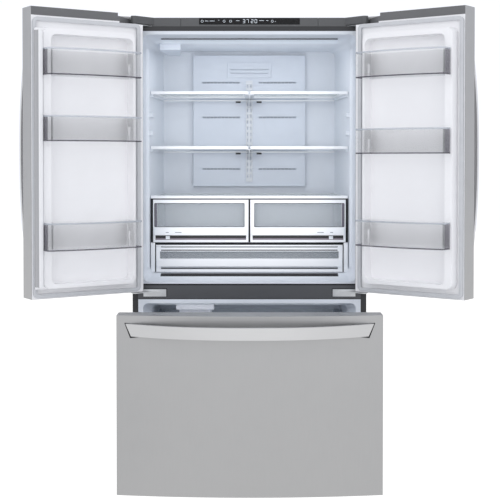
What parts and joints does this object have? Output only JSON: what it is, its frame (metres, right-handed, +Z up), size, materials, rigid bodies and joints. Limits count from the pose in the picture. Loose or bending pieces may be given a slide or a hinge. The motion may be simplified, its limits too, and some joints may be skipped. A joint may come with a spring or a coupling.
{
  "type": "french door refrigerator",
  "caption": "French door refrigerator with two hinged upper doors, a fold-away centre flap, door bins, glass shelves, crispers and a bottom freezer drawer on slides.",
  "frame": {"origin": "on the floor, on the centre line, in the front plane of the case", "axes": "+X to the user's right when facing the front, +Y to the rear, +Z up; doors and drawer stored open"},
  "size_m": [1.6973, 1.263, 1.772],
  "materials": {
    "stainless": "satin, brushed",
    "handle_steel": "satin, brushed along the bar",
    "case_paint": "satin grey coat",
    "rear_sheet": "plain galvanised sheet",
    "base_steel": "black coated steel",
    "liner_white": "vacuum-formed, semi-gloss",
    "door_liner_white": "vacuum-formed, semi-gloss",
    "cap_grey": "fine texture",
    "header_grey": "fine texture",
    "dark_plastic": "fine texture",
    "panel_glass": "black, polished",
    "clear_plastic": "clear, polished",
    "crisper_clear": "clear, slightly frosted",
    "shelf_pane": "clear tempered",
    "trim_white": "semi-gloss",
    "rail_white": "powder coat",
    "lens_white": "opal",
    "gasket_grey": "matt vinyl",
    "foam": "closed-cell foam",
    "zinc": "zinc plated",
    "slide_steel": "zinc plated",
    "rubber_black": "matt",
    "roller_grey": "moulded",
    "machine_black": "black coat",
    "slider_grey": "moulded"
  },
  "bodies": {
    "cabinet": {"case_wrap": "case_paint", "rear_panel": "rear_sheet", "base_frame": "base_steel", "insulation": "foam", "fridge_liner": "liner_white", "freezer_liner": "liner_white", "mid_rail": "case_paint", "service_covers": "dark_plastic", "top_covers": "header_grey", "control_panel": "panel_glass", "top_hinges": "zinc", "mid_hinges": "zinc", "front_feet": "rubber_black", "refrigeration_unit": "machine_black", "air_duct": "trim_white", "light_lens": "lens_white", "shelf_ladder": "rail_white", "shelf_frames": "trim_white", "shelf_glass": "shelf_pane", "crisper_frame": "trim_white", "slide_channels": "slide_steel", "ice_maker": "header_grey"},
    "left_door": {"left_door_skin": "stainless", "left_door_liner": "door_liner_white", "left_door_foam": "foam", "left_door_gasket": "gasket_grey", "left_door_caps": "cap_grey", "left_door_handle": "handle_steel"},
    "right_door": {"right_door_skin": "stainless", "right_door_liner": "door_liner_white", "right_door_foam": "foam", "right_door_gasket": "gasket_grey", "right_door_caps": "cap_grey", "right_door_handle": "handle_steel"},
    "flap": {"door_flap": "header_grey"},
    "freezer_drawer": {"drawer_skin": "stainless", "drawer_liner": "door_liner_white", "drawer_foam": "foam", "drawer_gasket": "gasket_grey", "drawer_handle": "handle_steel", "slide_bars": "slide_steel", "freezer_basket": "rail_white"},
    "slide_link": {"slide_middles": "slide_steel"},
    "freezer_tray": {"freezer_tray": "crisper_clear"},
    "left_crisper": {"crisper_left": "crisper_clear", "crisper_left_front": "trim_white"},
    "right_crisper": {"crisper_right": "crisper_clear", "crisper_right_front": "trim_white"},
    "pantry": {"pantry_drawer": "crisper_clear", "pantry_front": "trim_white"},
    "left_humidity_slider": {"humidity_slider_left": "slider_grey"},
    "right_humidity_slider": {"humidity_slider_right": "slider_grey"},
    "rollers": {"rear_rollers": "roller_grey"},
    "fan": {"condenser_fan": "dark_plastic"},
    "left_top_bin": {"left_bin_top": "clear_plastic"},
    "left_middle_bin": {"left_bin_middle": "clear_plastic"},
    "left_low_bin": {"left_bin_low": "clear_plastic"},
    "right_top_bin": {"right_bin_top": "clear_plastic"},
    "right_middle_bin": {"right_bin_middle": "clear_plastic"},
    "right_low_bin": {"right_bin_low": "clear_plastic"}
  },
  "joints": [
    {"name": "left_door_hinge", "type": "hinge", "parent": "cabinet", "child": "left_door", "pos_m": [-0.438, -0.05, 1.24], "axis": [0, 0, -1], "range_deg": [-146.5, 1.5]},
    {"name": "right_door_hinge", "type": "hinge", "parent": "cabinet", "child": "right_door", "pos_m": [0.438, -0.05, 1.24], "axis": [0, 0, 1], "range_deg": [-143.5, 4.5]},
    {"name": "flap_hinge", "type": "hinge", "parent": "left_door", "child": "flap", "pos_m": [-0.75707, -0.33434, 1.226], "axis": [0, 0, 1], "range_deg": [-90, 0]},
    {"name": "drawer_slide", "type": "slide", "parent": "cabinet", "child": "freezer_drawer", "axis": [0, -1, 0], "range_m": [-0.436, 0.014]},
    {"name": "slide_link_slide", "type": "slide", "parent": "cabinet", "child": "slide_link", "axis": [0, -1, 0], "range_m": [-0.218, 0.007]},
    {"name": "tray_slide", "type": "slide", "parent": "cabinet", "child": "freezer_tray", "axis": [0, -1, 0], "range_m": [0, 0.3]},
    {"name": "left_crisper_slide", "type": "slide", "parent": "cabinet", "child": "left_crisper", "axis": [0, -1, 0], "range_m": [0, 0.28]},
    {"name": "right_crisper_slide", "type": "slide", "parent": "cabinet", "child": "right_crisper", "axis": [0, -1, 0], "range_m": [0, 0.28]},
    {"name": "pantry_slide", "type": "slide", "parent": "cabinet", "child": "pantry", "axis": [0, -1, 0], "range_m": [0, 0.28]},
    {"name": "left_humidity_slide", "type": "slide", "parent": "left_crisper", "child": "left_humidity_slider", "axis": [1, 0, 0], "range_m": [0, 0.06]},
    {"name": "right_humidity_slide", "type": "slide", "parent": "right_crisper", "child": "right_humidity_slider", "axis": [-1, 0, 0], "range_m": [0, 0.06]},
    {"name": "rear_rollers_spin", "type": "hinge", "parent": "cabinet", "child": "rollers", "pos_m": [0, 0.54, 0.022], "axis": [1, 0, 0], "continuous": true},
    {"name": "condenser_fan_spin", "type": "hinge", "parent": "cabinet", "child": "fan", "pos_m": [0.074, 0.505, 0.13], "axis": [1, 0, 0], "continuous": true},
    {"name": "left_top_bin_lift", "type": "slide", "parent": "left_door", "child": "left_top_bin", "axis": [0, 0, 1], "range_m": [0, 0.025]},
    {"name": "left_middle_bin_lift", "type": "slide", "parent": "left_door", "child": "left_middle_bin", "axis": [0, 0, 1], "range_m": [0, 0.025]},
    {"name": "left_low_bin_lift", "type": "slide", "parent": "left_door", "child": "left_low_bin", "axis": [0, 0, 1], "range_m": [0, 0.025]},
    {"name": "right_top_bin_lift", "type": "slide", "parent": "right_door", "child": "right_top_bin", "axis": [0, 0, 1], "range_m": [0, 0.025]},
    {"name": "right_middle_bin_lift", "type": "slide", "parent": "right_door", "child": "right_middle_bin", "axis": [0, 0, 1], "range_m": [0, 0.025]},
    {"name": "right_low_bin_lift", "type": "slide", "parent": "right_door", "child": "right_low_bin", "axis": [0, 0, 1], "range_m": [0, 0.025]}
  ],
  "couplings": [
    {"joint": "slide_link_slide", "follows": "drawer_slide", "ratio": 0.5}
  ]
}
